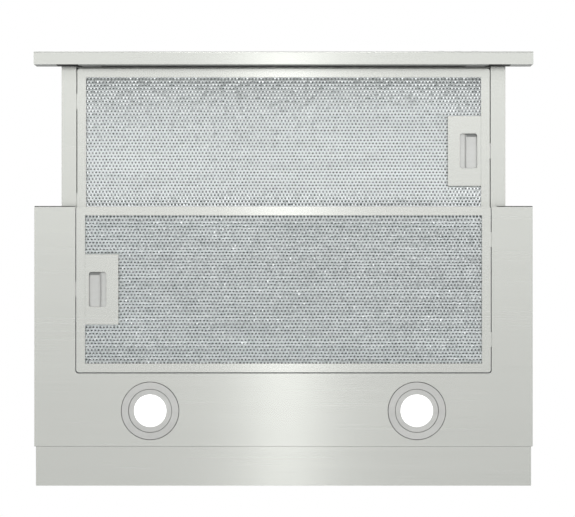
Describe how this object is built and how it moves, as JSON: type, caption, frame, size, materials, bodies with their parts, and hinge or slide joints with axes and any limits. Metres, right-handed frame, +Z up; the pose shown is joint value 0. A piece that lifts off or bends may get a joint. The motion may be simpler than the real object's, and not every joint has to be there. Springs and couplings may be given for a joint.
{
  "type": "telescopic range hood",
  "caption": "Slim range hood for a wall cabinet: steel housing with lamps and mesh filters, pull-out filter drawer behind a fascia, and a motor box with a round duct collar.",
  "frame": {"origin": "on the axis of the duct collar, where the collar's flange stands on the top plate", "axes": "+Z up along the duct, +X to the right as seen from the front, +Y toward the wall"},
  "size_m": [0.598, 0.5218, 0.254],
  "materials": {
    "brushed_steel": "fine brushing along the width",
    "carrier_grey": "satin grey paint",
    "zinc_sheet": "zinc-coated sheet, satin",
    "filter_mesh": "expanded sheet, satin",
    "filter_frame": "satin",
    "lamp_bezel": "satin",
    "lamp_lens": "frosted white",
    "light_plastic": "matte",
    "dark_plastic": "matte black",
    "black_rubber": "matte",
    "screw_steel": "zinc-plated",
    "motor_metal": "cast",
    "board_green": "lacquered",
    "button_metal": "satin metal look"
  },
  "bodies": {
    "hood": {"lower_housing": "zinc_sheet", "bottom_panel": "brushed_steel", "filter_seat": "zinc_sheet", "rear_spacer": "brushed_steel", "motor_box": "zinc_sheet", "top_plate": "zinc_sheet", "left_cabinet_bracket": "zinc_sheet", "right_cabinet_bracket": "zinc_sheet", "housing_screws": "screw_steel", "duct_collar": "dark_plastic", "left_scroll": "dark_plastic", "right_scroll": "dark_plastic", "blower_screws": "screw_steel", "left_inlet_grille": "dark_plastic", "motor_bracket": "zinc_sheet", "motor_rubber_mounts": "black_rubber", "motor": "motor_metal", "electronics_box": "light_plastic", "electronics_lid": "light_plastic", "control_board": "board_green", "capacitor": "light_plastic", "terminal_block": "light_plastic", "led_driver": "light_plastic", "cable_gland": "dark_plastic", "left_lamp_bezel": "lamp_bezel", "left_lamp_lens": "lamp_lens", "right_lamp_bezel": "lamp_bezel", "right_lamp_lens": "lamp_lens", "led_modules": "zinc_sheet", "fixed_rails": "zinc_sheet", "drawer_sensor": "dark_plastic", "body_filter_frame": "filter_frame", "body_filter_mesh": "filter_mesh", "body_latch_housing": "filter_frame", "body_latch_spring": "screw_steel"},
    "drawer": {"moving_rails": "zinc_sheet", "glide_shoes": "light_plastic", "drawer_magnet": "dark_plastic", "drawer_frame": "brushed_steel", "drawer_cover": "brushed_steel", "fascia_shell": "brushed_steel", "fascia_carrier": "carrier_grey", "fascia_brackets": "brushed_steel", "fascia_screws": "screw_steel", "closing_buffers": "black_rubber", "switch_block": "dark_plastic", "drawer_filter_frame": "filter_frame", "drawer_filter_mesh": "filter_mesh", "drawer_latch_housing": "filter_frame", "drawer_latch_spring": "screw_steel"},
    "fan": {"motor_shaft": "screw_steel", "impeller": "dark_plastic"},
    "front_flap_body": {"front_flap": "dark_plastic"},
    "rear_flap_body": {"rear_flap": "dark_plastic"},
    "light_button_body": {"light_button": "button_metal"},
    "low_button_body": {"low_button": "button_metal"},
    "medium_button_body": {"medium_button": "button_metal"},
    "high_button_body": {"high_button": "button_metal"},
    "body_latch": {"body_latch_slide": "filter_frame"},
    "drawer_latch": {"drawer_latch_slide": "filter_frame"}
  },
  "joints": [
    {"name": "drawer_slide", "type": "slide", "parent": "hood", "child": "drawer", "axis": [0, 1, 0], "range_m": [0, 0.167]},
    {"name": "fan_spin", "type": "hinge", "parent": "hood", "child": "fan", "pos_m": [0, 0.042, -0.084], "axis": [1, 0, 0], "continuous": true},
    {"name": "front_flap_hinge", "type": "hinge", "parent": "hood", "child": "front_flap_body", "pos_m": [0, -0.004, 0.007], "axis": [-1, 0, 0], "range_deg": [0, 80]},
    {"name": "rear_flap_hinge", "type": "hinge", "parent": "hood", "child": "rear_flap_body", "pos_m": [0, 0.004, 0.007], "axis": [1, 0, 0], "range_deg": [0, 80]},
    {"name": "light_press", "type": "slide", "parent": "drawer", "child": "light_button_body", "axis": [0, 1, 0], "range_m": [0, 0.001], "stiffness_N_per_m": 800, "springref_m": -0.0005},
    {"name": "low_press", "type": "slide", "parent": "drawer", "child": "low_button_body", "axis": [0, 1, 0], "range_m": [0, 0.001], "stiffness_N_per_m": 800, "springref_m": -0.0005},
    {"name": "medium_press", "type": "slide", "parent": "drawer", "child": "medium_button_body", "axis": [0, 1, 0], "range_m": [0, 0.001], "stiffness_N_per_m": 800, "springref_m": -0.0005},
    {"name": "high_press", "type": "slide", "parent": "drawer", "child": "high_button_body", "axis": [0, 1, 0], "range_m": [0, 0.001], "stiffness_N_per_m": 800, "springref_m": -0.0005},
    {"name": "body_latch_pull", "type": "slide", "parent": "hood", "child": "body_latch", "axis": [1, 0, 0], "range_m": [0, 0.005], "stiffness_N_per_m": 400, "springref_m": -0.002, "deforming": ["body_latch_spring"]},
    {"name": "drawer_latch_pull", "type": "slide", "parent": "drawer", "child": "drawer_latch", "axis": [-1, 0, 0], "range_m": [0, 0.005], "stiffness_N_per_m": 400, "springref_m": -0.002, "deforming": ["drawer_latch_spring"]}
  ]
}
